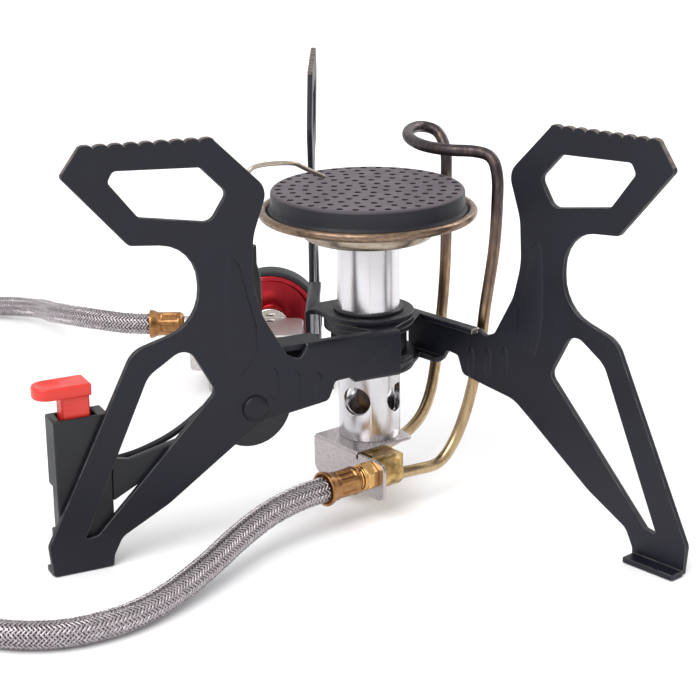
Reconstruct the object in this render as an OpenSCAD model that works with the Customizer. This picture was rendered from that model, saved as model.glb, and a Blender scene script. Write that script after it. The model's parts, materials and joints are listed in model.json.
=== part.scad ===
// Remote canister stove: three folding sheet legs around a mixer tube, a perforated burner,
// a preheating generator tube, a piezo igniter, and a braided hose to a canister valve.
// Millimetres. The origin is on the ground under the burner, with +Z up.

/* [Burner] */
// Outside diameter of the mixer tube
tube_od = 17; // [16.8:0.1:17.2]
// Wall of the mixer tube
tube_wall = 1.5; // [1:0.1:2]
// Diameter of the perforated burner cap
cap_d = 52.2; // [51:0.1:52.4]
// Height of the burner cap's top face
cap_top = 86; // [85.5:0.1:86.5]
// Diameter of a flame port in the cap
port_d = 1.8; // [1.6:0.1:2.1]
// Diameter of an air hole in the mixer tube
air_hole_d = 8; // [6:0.5:8.5]

/* [Legs] */
// Thickness of the leg sheet
sheet = 1.5; // [1.2:0.1:1.6]
// Distance from the burner's axis to the middle of a leg's plate
leg_offset = 16.6; // [16.4:0.1:16.8]
// Direction in which the left leg points, in degrees from +X
left_azimuth = 205.7; // [204:0.1:207]
// Direction in which the right leg points
right_azimuth = 312.1; // [311:0.1:313]
// Direction in which the rear leg points
rear_azimuth = 89.1; // [88:0.1:90]
// Radius of the hinge ears around the tube
ear_r = 12.3; // [12:0.1:12.6]
// Number of teeth on a pot support
tooth_count = 9; // [7:1:11]

/* [Hose] */
// Outside diameter of the braided hose
hose_d = 7; // [6.6:0.1:7.2]
// Diameter of the generator tube
generator_d = 3.2; // [3:0.1:3.3]

/* [Valve] */
// Diameter of the control knob over its rubber rim
knob_d = 33.6; // [32:0.1:34]
// Diameter of the skirt that sits on the canister
skirt_d = 26; // [25:0.5:28]
// Height of the spindle above the ground
spindle_z = 17.2; // [17.2:0.1:17.4]

/* [Igniter] */
// Travel of the igniter button
button_travel = 5; // [3:0.5:5]

/* [Hidden] */

$fn = 64;
tube_r = tube_od / 2;
running = 0.05;
fit_gap = 0.02;

// Ear stack: rear on top, then left, then right, one sheet and a small gap apart
ear_pitch = sheet + 0.1;
channel_h = 12.8;
rear_top = 52.4;
left_top = rear_top - ear_pitch;
right_top = rear_top - 2 * ear_pitch;
flange_w = 3.75;

// Bracket frame: out is the distance from the axis towards the hose, along runs to its right
bracket_azimuth = 218;
bracket_out = 13;
bracket_top = 16.5;
bracket_sheet = 1;
inlet_along = 16.5;
inlet_z = 12;
inlet_r = 3;
hose_out = 29;

// Valve
valve_x = -38;
valve_y = 86;
spindle_x = -31;
port_y = 100;
port_z = 17;
block_back = 94;
seal_y = block_back - 3;
socket_r = 5.55;
socket_low = 1.5;
socket_high = 8;

// Igniter, in the left leg's own frame
pad_t = 41.5;
pad_z = 36;
housing_t = 80.4;
cell_t = housing_t + 8;
sleeve_t = 39;
rim_r = 28.2;
rim_bead = 1.25;
pan_floor = 76.4;
pan_shoulder = 79.8;
plate_inner = leg_offset - sheet / 2;

// Hose centre line, from the near ferrule round the left of the stove to the valve
hose_route = [[-12.7, -30.9, 12], [-19.3, -36.1, 11.6], [-27, -43.3, 10.2], [-34.3, -53, 8],
    [-41, -64.2, 5.8], [-47.8, -75, 4.3], [-54.3, -83.6, 3.6], [-62, -90.8, 3.5],
    [-72.5, -95.9, 3.5], [-84.5, -96.3, 3.5], [-96, -92.2, 3.5], [-106, -84.2, 3.5],
    [-113.5, -73.5, 3.5], [-119.5, -60, 3.5], [-125, -44, 3.5], [-131, -25.5, 3.5],
    [-137.5, -5, 3.5], [-144, 15.5, 3.5], [-150.5, 36, 3.5], [-157, 56.5, 3.5],
    [-163.5, 77, 3.5], [-169.5, 95.5, 3.5], [-173.8, 111, 3.5], [-175.8, 124, 3.5],
    [-174.5, 137, 3.5], [-169, 149.5, 3.5], [-160.3, 159, 3.5], [-148.7, 164.3, 3.5],
    [-136.3, 165.2, 3.8], [-124.8, 161.6, 4.7], [-115.8, 153.3, 6.5], [-110.8, 141.8, 9.3],
    [-107.5, 129.5, 12.5], [-102.8, 118, 15.5], [-95.5, 108.6, 17.3], [-87, 103, 17.7],
    [-78.3, 100.3, 17.3], [-70.5, 100, 17]];

// Generator tube centre line: up on the right, over the burner, and down at the back
generator_route = [[4.5, -17.8, 10.4], [12, -13.2, 10.2], [18.8, -8.8, 10.4], [23.3, -5.5, 15.7],
    [26.6, -3.6, 24], [28.9, -2.5, 33.4], [30.6, -2.6, 44], [31.6, -3.2, 54], [33.6, -5.2, 70],
    [34.2, -6.6, 84], [34, -7, 91], [32.4, -5.2, 95.2], [28, -2.8, 96.2], [21.4, -1, 96.2],
    [15, 5, 96.2], [11.6, 15, 96.2], [12, 25, 96.2], [15.4, 31, 96], [20, 30.6, 94.6],
    [22.2, 26.8, 90], [22.3, 25.2, 82], [22.3, 25, 62], [21.4, 24.6, 46], [19.8, 23, 32.5],
    [18, 18, 23], [15.2, 12.5, 17.2], [11.2, 7.8, 13.9], [7, 4, 12.4], [3.6, 1.4, 12]];

spark_route = [[housing_t - 0.1, 10, 26], [72, 9.6, 26.5], [61, 9.4, 30], [51, 9.4, 36.5], [43.5, 9.6, 42],
    [sleeve_t + 1, 10.6, 46.5], [sleeve_t, 11, 49.6], [sleeve_t, 11, 51], [sleeve_t, 11, 53.8]];
wire_route = [[sleeve_t, 11, 77.8], [sleeve_t + 0.3, 11, 88], [sleeve_t + 0.5, 11.1, 95],
    [sleeve_t - 1.8, 11.2, 98.2], [27.3, 11.3, 98], [22, 7.6, 95.4], [10.6, -4.1, 89.2]];

// ---- Functions -------------------------------------------------------------------------

function unit(v) = v / norm(v);
function flat(p) = [p[0], p[1]];

// Points of the arc that rounds corner b, which lies between a and c, to the radius b[2]
function corner(a, b, c, steps) =
    let (u = unit(flat(a) - flat(b)))
    let (v = unit(flat(c) - flat(b)))
    let (opening = acos(max(-1, min(1, u * v))))
    let (turn = cross(u, v) < 0 ? 1 : -1)
    let (start = flat(b) + u * b[2] / tan(opening / 2))
    let (middle = flat(b) + unit(u + v) * b[2] / sin(opening / 2))
    let (first = atan2(start[1] - middle[1], start[0] - middle[0]))
    [for (k = [0:steps]) let (angle = first + turn * (180 - opening) * k / steps)
        middle + b[2] * [cos(angle), sin(angle)]];

// An outline from corners [x, y, radius]; a radius of 0 keeps the corner sharp
function rounded(corners, steps = 6) =
    [for (i = [0:len(corners) - 1])
        let (b = corners[i])
        let (a = corners[(i + len(corners) - 1) % len(corners)])
        let (c = corners[(i + 1) % len(corners)])
        each (b[2] > 0 ? corner(a, b, c, steps) : [flat(b)])];

// Corners of a box with one radius
function box_corners(x0, y0, x1, y1, r) = [[x0, y0, r], [x1, y0, r], [x1, y1, r], [x0, y1, r]];

// A smooth curve through the points of a route
function between(a, b, c, d, t) =
    0.5 * (2 * b + (c - a) * t + (2 * a - 5 * b + 4 * c - d) * t * t
        + (3 * b - a - 3 * c + d) * t * t * t);
function smooth(route, steps) =
    [for (i = [0:len(route) - 2]) for (k = [0:steps - 1])
        between(route[max(i - 1, 0)], route[i], route[i + 1], route[min(i + 2, len(route) - 1)],
            k / steps),
        route[len(route) - 1]];

// The direction of a route at point i, and a side vector carried along it without twist
function along(route, i) = unit(route[min(i + 1, len(route) - 1)] - route[max(i - 1, 0)]);
function sides(route, i, last) =
    i >= len(route) ? [] :
    let (t = along(route, i))
    let (s = unit(last - (last * t) * t))
    concat([s], sides(route, i + 1, s));

// Rounded teeth along the line from a to b, as points that stand out by tall
function teeth(a, b, count, tall) =
    let (run = unit(b - a))
    let (out = [run[1], -run[0]])
    let (pitch = norm(b - a) / count)
    [for (i = [0:count - 1]) for (k = [0:4])
        a + run * pitch * (i + (1 - cos(36 * k)) / 2) + out * tall * sin(36 * k)];

// Corners of a leg's lower edge and outer edge, from the arm to the tip
function lower_edge(bottom) = [[12.4, bottom, 0.8], [14.4, 39.9, 1.2], [18.4, 39.6, 1.2],
    [20.4, 34.6, 2], [29.5, 33.3, 8], [39.4, 32.1, 10], [46, 27.8, 20], [66, 14.1, 20],
    [79, 7.4, 4], [81.3, 3, 1.5], [81.7, 0, 0.6], [97.7, 0, 1], [98.5, 8.3, 2.5]];
outer_neck = [[74, 56.4, 7], [55.9, 61.2, 11.3], [55.9, 81.5, 11], [73.6, 83.5, 2],
    [90.2, 102.4, 1.2]];
top_inner = [50.3, 107.4];
top_outer = [85.4, 108.8];
function inner_edge(top) = [[36.4, 93.6, 5], [40.6, 82, 15], [41.2, 70, 20], [38.7, 60.5, 15],
    [32, 48.9, 2.5], [28.4, 47.4, 1.2], [26.4, top - 0.4, 0.6]];

// The whole outline of a leg's plate whose arm lies between bottom and top
function leg_outline(bottom, top) = concat(
    [[-1, bottom + 1.5]],
    [for (p = rounded(concat([[-1, bottom, 0]], lower_edge(bottom), outer_neck,
        [[top_outer[0], top_outer[1], 0]]), 6)) p],
    teeth(top_outer, top_inner, tooth_count, 0.9),
    [for (p = rounded(concat([[top_inner[0], top_inner[1], 0]], inner_edge(top),
        [[-1, top - 0.4, 0]]), 6)) p]);

hexagon_window = [[54.4, 101, 2], [76.8, 102.5, 1.5], [78.3, 99.9, 1.2], [70.8, 90.3, 2.5],
    [52, 86.9, 3], [47.4, 93.8, 2]];
triangle_window = [[52.1, 42.3, 2.5], [85.4, 9.2, 0.8], [89, 8.6, 0.5], [70.2, 49.3, 7],
    [59.5, 55.8, 4]];

// ---- General modules -------------------------------------------------------------------

// A round tube or wire swept along a route's own points
module swept(route, r, count) {
    rings = sides(route, 0, [0.13, 0.2, 1]);
    points = [for (i = [0:len(route) - 1])
        let (t = along(route, i))
        let (b = cross(t, rings[i]))
        for (k = [0:count - 1])
            route[i] + r * (cos(360 * k / count) * rings[i] + sin(360 * k / count) * b)];
    last = (len(route) - 1) * count;
    walls = [for (i = [0:len(route) - 2]) for (k = [0:count - 1])
        let (n = (k + 1) % count)
        each [[i * count + k, (i + 1) * count + k, (i + 1) * count + n],
            [i * count + k, (i + 1) * count + n, i * count + n]]];
    low_cap = [for (k = [1:count - 2]) [0, k, k + 1]];
    high_cap = [for (k = [1:count - 2]) [last, last + k + 1, last + k]];
    polyhedron(points = points, faces = concat(walls, low_cap, high_cap), convexity = 6);
}

// Places a leg's own frame: x runs out along the leg, y across its plate, z up
module at_leg(azimuth) {
    rotate([0, 0, azimuth]) children();
}

// Extrudes an outline drawn in (x, z) from y0 to y1
module plate_xz(y0, y1) {
    translate([0, y1, 0]) rotate([90, 0, 0]) linear_extrude(y1 - y0) children();
}

// Extrudes an outline drawn in (y, z) from x0 to x1
module bar_yz(x0, x1) {
    translate([x0, 0, 0]) rotate([90, 0, 90]) linear_extrude(x1 - x0) children();
}

// Places the bracket's frame: x is the way out to the hose, y is minus along
module at_bracket() {
    rotate([0, 0, bracket_azimuth]) children();
}

// Places the inlet's axis: z runs out to the hose, from the burner's axis
module at_inlet(out) {
    at_bracket() translate([out, inlet_along, inlet_z]) rotate([0, 90, 0]) children();
}

module ring(r_out, r_in, z0, z1) {
    translate([0, 0, z0]) difference() {
        cylinder(r = r_out, h = z1 - z0);
        translate([0, 0, -1]) cylinder(r = r_in, h = z1 - z0 + 2);
    }
}

// ---- Burner ----------------------------------------------------------------------------

module mixer_tube() {
    color("silver") difference() {
        ring(tube_r, tube_r - tube_wall, bracket_top, pan_floor + 1.4);
        for (k = [0:3])
            rotate([0, 0, 243 + 90 * k]) translate([0, 0, 28]) rotate([0, 90, 0])
                cylinder(d = air_hole_d, h = tube_od);
    }
}

module burner_cap() {
    cap_r = cap_d / 2;
    wall = 1;
    brim_r = rim_r - rim_bead - 0.05;
    flare = 1.8;
    profile = concat([[0, cap_top - wall]],
        [[cap_r - wall - 0.6, cap_top - wall], [cap_r - wall, cap_top - wall - 0.6]],
        [[cap_r - wall, pan_shoulder], [brim_r, pan_shoulder], [brim_r, pan_shoulder + 0.7],
        [cap_r + 0.35, pan_shoulder + 1.1], [cap_r + 0.1, pan_shoulder + flare]],
        corner([cap_r, pan_shoulder, 0], [cap_r, cap_top, 1.1], [0, cap_top, 0], 6),
        [[0, cap_top]]);
    rows = [[24, 36], [20.4, 30], [16.7, 24], [13, 19], [9.2, 13], [5.5, 8], [1.9, 3]];
    color("#3a3a42") difference() {
        rotate_extrude($fn = 96) polygon(profile);
        for (row = rows) for (k = [0:row[1] - 1])
            rotate([0, 0, 360 * k / row[1] + 3 * row[0]])
                translate([row[0], 0, cap_top - wall - 1]) cylinder(d = port_d, h = wall + 2, $fn = 16);
    }
}

module burner_cup() {
    color("#7a6350") rotate_extrude($fn = 96) union() {
        polygon([[tube_r + fit_gap, pan_floor], [19, pan_floor], [23.6, pan_shoulder - 1],
            [rim_r - 0.4, pan_shoulder - 1], [rim_r, pan_shoulder], [23.2, pan_shoulder],
            [18.6, pan_floor + 1], [tube_r + fit_gap, pan_floor + 1]]);
        translate([rim_r, pan_shoulder - 0.1]) circle(r = rim_bead, $fn = 24);
    }
}

module burner_collector() {
    color("#a89a88") rotate_extrude() polygon([[tube_r + fit_gap, 73.1], [17.3, 73.1], [18.2, 74.2],
        [18.2, pan_floor], [tube_r + fit_gap, pan_floor]]);
}

module hub_spacer() {
    color("#30303a")
        ring(10.4, tube_r + fit_gap, rear_top - channel_h + sheet + 0.1, right_top - sheet - 0.1);
}

module hub_clips() {
    right_bottom = right_top - channel_h;
    color("silver") {
        ring(9.5, tube_r + fit_gap, rear_top + 0.1, rear_top + 0.9);
        ring(9.5, tube_r + fit_gap, right_bottom - 0.9, right_bottom - 0.1);
    }
}

// ---- Gas inlet -------------------------------------------------------------------------

module tube_bracket() {
    low = 5.5;
    right = 22;
    fold = 10.2;
    left = -8.5;
    face = rounded([[left, low, 3], [right, low, 2.5], [right, bracket_top - 0.3, 2.5],
        [fold + 0.9, bracket_top - 0.3, 0], [fold + 0.9, bracket_top - 2, 0],
        [fold, bracket_top - 2, 0], [fold, bracket_top - 0.6, 0], [left, bracket_top - 0.6, 0]]);
    color("#b5aeb0") difference() {
        at_bracket() union() {
            bar_yz(bracket_out - bracket_sheet, bracket_out) polygon(face);
            translate([0, 0, bracket_top - bracket_sheet]) linear_extrude(bracket_sheet)
                polygon(rounded([[-7.5, left, 2], [bracket_out - 0.6, left, 0],
                    [bracket_out - 0.6, fold, 0], [-7.5, fold, 2]]));
            intersection() {
                translate([bracket_out - 1.2, left, bracket_top - 1.2]) rotate([-90, 0, 0])
                    cylinder(r = 1.2, h = fold - left);
                translate([bracket_out - 1.2, left, bracket_top - 1.2])
                    cube([1.2, fold - left, 1.2]);
            }
        }
        translate([0, 0, bracket_top - 3]) cylinder(r = 3.55, h = 6);
        at_inlet(bracket_out - 3) cylinder(r = inlet_r + running, h = 6);
    }
}

module gas_block() {
    color("#b08a4a") difference() {
        union() {
            translate([0, 0, 5]) cylinder(r = 6.3, h = bracket_top - bracket_sheet - 5);
            at_bracket() translate([1.5, -3, 7.6]) cube([8, inlet_along + 3, 7.9]);
            at_inlet(4.8) cylinder(r = 4.3, h = bracket_out - bracket_sheet - 4.8);
            at_inlet(bracket_out - bracket_sheet) cylinder(r = inlet_r, h = 1);
        }
        translate([0, 0, 9]) cylinder(r = 2.5, h = 10);
    }
}

module gas_jet() {
    color("#c9a050") difference() {
        union() {
            translate([0, 0, 9]) cylinder(r = 2.5, h = 6.5);
            translate([0, 0, bracket_top - bracket_sheet]) cylinder(r = 3.5, h = 3, $fn = 6);
            translate([0, 0, 18.5]) cylinder(r = 2, h = 2.5);
        }
        translate([0, 0, 8]) cylinder(r = 0.8, h = 12);
        translate([0, 0, 19]) cylinder(r = 0.2, h = 3);
    }
}

module inlet_nut() {
    color("#c9975a") union() {
        at_inlet(bracket_out) cylinder(r = 4.15, h = 3.5, $fn = 6);
        at_inlet(bracket_out + 3.5) cylinder(r = 3.5, h = 0.8);
        at_inlet(bracket_out + 4.3) cylinder(r = 2.7, h = 0.7);
    }
}

module generator_tube() {
    color("#7d6448") swept(smooth(generator_route, 3), generator_d / 2, 12);
}

// ---- Legs ------------------------------------------------------------------------------

// One leg: plate with windows, folded arm, and two hinge ears
module leg(azimuth, top) {
    bottom = top - channel_h;
    outer = leg_offset + sheet / 2;
    flange = outer - flange_w;
    channel = concat(corner([flange, top, 0], [outer, top, sheet], [outer, bottom, 0], 5),
        corner([outer, top, 0], [outer, bottom, sheet], [flange, bottom, 0], 5),
        [[flange, bottom], [flange, bottom + sheet], [plate_inner, bottom + sheet]],
        [[plate_inner, top - sheet], [flange, top - sheet], [flange, top]]);
    ear_tab = [[-6.8, 10], [-1, flange + 0.6], [5.5, flange + 0.6], [10.2, 6.6], [0, 0]];
    color("#2d2e39") at_leg(azimuth) difference() {
        union() {
            difference() {
                plate_xz(plate_inner, outer) polygon(leg_outline(bottom + 0.4, top));
                plate_xz(plate_inner - 1, outer + 1) polygon(rounded(hexagon_window));
                plate_xz(plate_inner - 1, outer + 1) polygon(rounded(triangle_window));
                translate([-2, plate_inner - 1, bottom - 1]) cube([14.4, sheet + 2, channel_h + 3]);
                translate([-2, plate_inner - 1, top - sheet]) cube([27.9, sheet + 2, 3]);
            }
            bar_yz(-1, 12.4) polygon(channel);
            intersection() {
                bar_yz(12, 25.9) polygon(channel);
                translate([12, 0, bottom + channel_h / 2]) cube([20, 20, channel_h]);
            }
            for (low = [bottom, top - sheet])
                translate([0, 0, low]) linear_extrude(sheet) polygon(ear_tab);
            for (low = [bottom, top - sheet])
                translate([0, 0, low]) cylinder(r = ear_r, h = sheet);
            translate([81.7, plate_inner - 4, 0]) cube([16, 4.2, sheet]);
        }
        translate([0, 0, bottom - 1]) cylinder(r = tube_r + running, h = sheet + 2);
        translate([0, 0, top - sheet - 1]) cylinder(r = tube_r + running, h = sheet + 2);
    }
}

module leg_left() {
    difference() {
        leg(left_azimuth, left_top);
        at_leg(left_azimuth) translate([pad_t, plate_inner - 1, pad_z]) rotate([-90, 0, 0])
            cylinder(r = 1.75, h = sheet + 2);
    }
}

module leg_right() {
    leg(right_azimuth, right_top);
}

module leg_rear() {
    leg(rear_azimuth, rear_top);
}

// ---- Igniter ---------------------------------------------------------------------------

module igniter_housing() {
    inner = plate_inner - 7.6;
    color("#2a2a32") at_leg(left_azimuth) difference() {
        translate([housing_t, inner, 4.6]) cube([14.6, 7.6, 36.2]);
        translate([housing_t + 2.8, inner + 1.2, 8]) cube([9.6, 5.2, 40]);
        translate([housing_t + 7.6, inner - 1, 10]) cube([10, 4, 12]);
    }
}

module igniter_strap() {
    color("#25252c") at_leg(left_azimuth) difference() {
        union() {
            plate_xz(plate_inner - 2.4, plate_inner) polygon(rounded([[housing_t, 17, 0],
                [housing_t, 28.5, 0], [75.5, 27.4, 1], [62, 30.4, 4], [44, 40, 4], [41, 33, 4], [62, 25.6, 4],
                [74, 20.2, 1]]));
            translate([pad_t, plate_inner - 2.4, pad_z]) rotate([-90, 0, 0])
                cylinder(r = 11, h = 2.4);
        }
        translate([pad_t, plate_inner - 4, pad_z]) rotate([-90, 0, 0])
            cylinder(r = 1.75, h = 8);
    }
}

module igniter_rivet() {
    outer = leg_offset + sheet / 2;
    color("#2a2a34") at_leg(left_azimuth) translate([pad_t, 0, pad_z]) rotate([-90, 0, 0]) union() {
        translate([0, 0, plate_inner - 2.4]) cylinder(r = 1.7, h = sheet + 2.4);
        translate([0, 0, outer]) rotate_extrude() polygon(concat([[0, 0], [3.5, 0]],
            [for (k = [0:6]) [3.5 * cos(15 * k), 0.3 + 1.2 * sin(15 * k)]]));
        translate([0, 0, plate_inner - 3.2]) cylinder(r = 2.6, h = 0.8);
    }
}

module igniter_button() {
    inner = plate_inner - 7.6;
    color("#f0483a") at_leg(left_azimuth) difference() {
        union() {
            translate([housing_t + 4.4, inner + 1.4, 32]) cube([7.4, 4.8, 14.6]);
            translate([0, 0, 46.2]) linear_extrude(3.2) polygon(rounded([[84.5, inner - 0.8, 0.6],
                [98.8, inner - 0.8, 3.9], [98.8, inner + 7.4, 3.9], [84.5, inner + 7.4, 0.6]]));
        }
        translate([94.4, inner + 3.5, 55.6]) sphere(r = 7, $fn = 48);
        translate([cell_t, inner + 3.8, 31]) cylinder(r = 1.9, h = 6);
    }
}

module button_spring() {
    inner = plate_inner - 7.6;
    turns = 6;
    path = [for (k = [0:turns * 10]) [cell_t + 1.4 * cos(36 * k), inner + 3.8 + 1.4 * sin(36 * k),
        23.2 + k * 13.2 / (turns * 10)]];
    color("#a8a8ac") at_leg(left_azimuth) swept(path, 0.25, 6);
}

module piezo_cell() {
    color("#c8b070") at_leg(left_azimuth) translate([cell_t, plate_inner - 3.8, 8.2])
        cylinder(r = 2.4, h = 14.5);
}

module spark_lead() {
    color("#202024") at_leg(left_azimuth) swept(smooth(spark_route, 3), 0.9, 8);
}

module electrode_sleeve() {
    color("#26262e") at_leg(left_azimuth) difference() {
        union() {
            translate([sleeve_t, 11, 51]) cylinder(r = 2.6, h = 18);
            translate([sleeve_t, 11, 69]) cylinder(r1 = 2.6, r2 = 1.6, h = 4);
            translate([sleeve_t, 11, 73]) cylinder(r = 1.6, h = 4.8);
            translate([sleeve_t, 12, 55]) cube([7, plate_inner - 12, 10]);
        }
        translate([sleeve_t, 11, 60]) cylinder(r = 0.6, h = 20);
        translate([sleeve_t, 11, 50]) cylinder(r = 1.05, h = 4);
    }
}

module electrode_wire() {
    color("#c0b8ac") at_leg(left_azimuth) union() {
        translate([sleeve_t, 11, 60]) cylinder(r = 0.6, h = 17.8, $fn = 16);
        swept(smooth(wire_route, 3), 0.6, 8);
    }
}

// ---- Hose ------------------------------------------------------------------------------

module hose() {
    color("#a8a2a6") swept(hose_route, hose_d / 2, 12);
}

// A crimped ferrule along +Z, with its flared mouth at the far end
module ferrule(length) {
    flare = 2.6;
    rotate_extrude() polygon([[0, 0], [3.2, 0], [3.9, 0.8], [3.9, length - flare], [4.7, length - 0.8],
        [4.7, length], [0, length]]);
}

module ferrule_near() {
    start = bracket_out + 5;
    color("#9c6f3c") at_inlet(start) ferrule(hose_out - start);
}

module ferrule_far() {
    color("#9c6f3c") translate([-59.5, port_y, port_z]) rotate([0, -90, 0]) ferrule(11);
}

// ---- Canister valve --------------------------------------------------------------------

module valve_body() {
    color("#cfc8c8") difference() {
        union() {
            translate([0, 0, 9]) linear_extrude(11.5)
                polygon(rounded(box_corners(-56, 75, -20, block_back, 3)));
            translate([-56, 88, 11]) cube([6.5, 12, 9.5]);
            translate([-59.5, port_y, port_z]) rotate([0, 90, 0]) cylinder(r = 2.6, h = 4);
            translate([-56, port_y, port_z]) rotate([0, 90, 0]) cylinder(r = 5.5, h = 6.5);
            translate([valve_x, valve_y, socket_low]) cylinder(r = 8, h = 8);
        }
        translate([valve_x, valve_y, 0]) cylinder(r = socket_r, h = socket_high);
        translate([valve_x, valve_y, 7]) cylinder(r = 4.2, h = 2.5);
        translate([valve_x, valve_y, 9]) cylinder(r = 1.02, h = 4);
        translate([spindle_x, block_back + 1, spindle_z]) rotate([90, 0, 0])
            cylinder(r = 2.05, h = 12);
        translate([spindle_x, seal_y + 0.8, spindle_z]) rotate([90, 0, 0])
            cylinder(r = 3.45, h = 1.6);
    }
}

module canister_skirt() {
    color("#b8b2b0") translate([valve_x, valve_y, 0]) rotate_extrude() polygon([[8 + fit_gap, 6.5],
        [11.4, 6.5], [11.6, 0.3], [12, 0], [skirt_d / 2, 0], [skirt_d / 2, 7.6],
        [skirt_d / 2 - 1.4, 9], [8 + fit_gap, 9]]);
}

module canister_seal() {
    color("#202022") translate([valve_x, valve_y, 8.7]) rotate_extrude()
        translate([3.2, 0]) circle(r = 0.7, $fn = 20);
}

module valve_pin() {
    color("#b89858") translate([valve_x, valve_y, 8.1]) cylinder(r = 1, h = 4.4);
}

module gland_nut() {
    color("#dcd8d4") translate([spindle_x, block_back, spindle_z]) rotate([-90, 0, 0])
        difference() {
            rotate_extrude() polygon([[0, 0], [6.2, 0], [6.2, 3], [5.8, 4.2], [4.6, 5.2], [0, 5.2]]);
            translate([0, 0, -1]) cylinder(r = 2.05, h = 8);
        }
}

module spindle_seal() {
    color("#202022") translate([spindle_x, seal_y, spindle_z]) rotate([90, 0, 0])
        rotate_extrude() translate([2.75, 0]) circle(r = 0.65, $fn = 20);
}

module valve_spindle() {
    color("#b89858") translate([spindle_x, 107, spindle_z]) rotate([90, 0, 0]) union() {
        cylinder(r = 2, h = 20);
        translate([0, 0, 20]) cylinder(r1 = 2, r2 = 0.4, h = 3);
    }
}

module knob_disc() {
    knob_r = knob_d / 2;
    color("#b02c34") translate([spindle_x, 101.2, spindle_z]) rotate([-90, 0, 0]) difference() {
        rotate_extrude() polygon([[0, 0.4], [4.2, 0.4], [4.2, 3.6], [12.6, 3.6], [13.4, 0.4],
            [13.8, 0], [knob_r - 1.7, 0], [knob_r - 1.7, 6.6], [14, 6.6], [13, 5.4], [0, 5.4]]);
        translate([0, 0, -1]) cylinder(r = 2.02, h = 9);
    }
}

module knob_rim() {
    knob_r = knob_d / 2;
    color("#2c3036") translate([spindle_x, 101.2, spindle_z]) rotate([-90, 0, 0]) difference() {
        cylinder(r = knob_r, h = 6.6);
        translate([0, 0, -1]) cylinder(r = knob_r - 1.7, h = 9);
    }
}

module knob_screw() {
    color("#8a8a8e") translate([spindle_x, 107, spindle_z]) rotate([-90, 0, 0]) difference() {
        cylinder(r = 3, h = 1.6);
        translate([-4, -0.4, 0.9]) cube([8, 0.8, 2]);
    }
}

// ---- Assembly --------------------------------------------------------------------------

mixer_tube();
burner_cap();
burner_cup();
burner_collector();
hub_spacer();
hub_clips();
tube_bracket();
gas_block();
gas_jet();
inlet_nut();
generator_tube();
leg_left();
leg_right();
leg_rear();
igniter_housing();
igniter_strap();
igniter_rivet();
igniter_button();
button_spring();
piezo_cell();
spark_lead();
electrode_sleeve();
electrode_wire();
hose();
ferrule_near();
ferrule_far();
valve_body();
canister_skirt();
canister_seal();
valve_pin();
gland_nut();
spindle_seal();
valve_spindle();
knob_disc();
knob_rim();
knob_screw();
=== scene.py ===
"""Looks of the remote canister stove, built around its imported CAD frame.

Sizes are in millimetres and MM turns them into Blender's metres. A leg's own frame has t out along the leg,
n across its plate and z up. Every sub-assembly is a class that builds its meshes and dresses its CAD nodes.
"""

from __future__ import annotations

import json
import logging
import math
from collections.abc import Callable, Sequence
from dataclasses import dataclass, field
from enum import Enum

import bmesh
import bpy
from mathutils import Matrix, Vector
from mathutils.bvhtree import BVHTree

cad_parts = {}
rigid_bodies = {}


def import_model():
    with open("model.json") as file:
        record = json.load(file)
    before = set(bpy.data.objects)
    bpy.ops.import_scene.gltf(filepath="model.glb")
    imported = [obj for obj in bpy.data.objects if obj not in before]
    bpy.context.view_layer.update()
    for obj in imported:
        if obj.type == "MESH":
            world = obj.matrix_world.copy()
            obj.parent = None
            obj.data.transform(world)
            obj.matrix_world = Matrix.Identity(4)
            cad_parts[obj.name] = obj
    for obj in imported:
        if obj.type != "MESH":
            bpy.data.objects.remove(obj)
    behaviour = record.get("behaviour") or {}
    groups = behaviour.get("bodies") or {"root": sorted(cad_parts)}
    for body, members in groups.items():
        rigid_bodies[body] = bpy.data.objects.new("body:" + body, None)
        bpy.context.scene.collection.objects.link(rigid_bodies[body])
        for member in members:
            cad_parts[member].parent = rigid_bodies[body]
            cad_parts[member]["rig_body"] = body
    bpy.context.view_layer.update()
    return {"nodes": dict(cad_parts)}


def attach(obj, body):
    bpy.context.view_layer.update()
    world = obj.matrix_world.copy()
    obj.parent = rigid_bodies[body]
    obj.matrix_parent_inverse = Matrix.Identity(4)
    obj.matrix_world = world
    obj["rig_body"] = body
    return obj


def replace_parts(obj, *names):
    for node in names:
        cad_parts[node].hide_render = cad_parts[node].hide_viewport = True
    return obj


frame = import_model()

log = logging.getLogger("stove")
MM = 0.001
Point = tuple[float, float, float]


class LegSide(Enum):
    """The three legs, each with the direction in degrees in which it points."""

    LEFT = 205.7
    RIGHT = 312.1
    REAR = 89.1


class Winding(Enum):
    """The two families of wires in the braid, by the way they wind round the hose."""

    RIGHT_HAND = 1
    LEFT_HAND = -1


# ---- Small tools ----


def linear(colour: str) -> tuple[float, float, float, float]:
    """Turns an sRGB hex colour into linear light.

    Args:
        colour: The colour as #rrggbb.

    Returns:
        Red, green, blue and an alpha of 1.
    """
    parts = [int(colour[k : k + 2], 16) / 255 for k in (1, 3, 5)]
    light = [c / 12.92 if c <= 0.04045 else ((c + 0.055) / 1.055) ** 2.4 for c in parts]
    return (light[0], light[1], light[2], 1.0)


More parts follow.
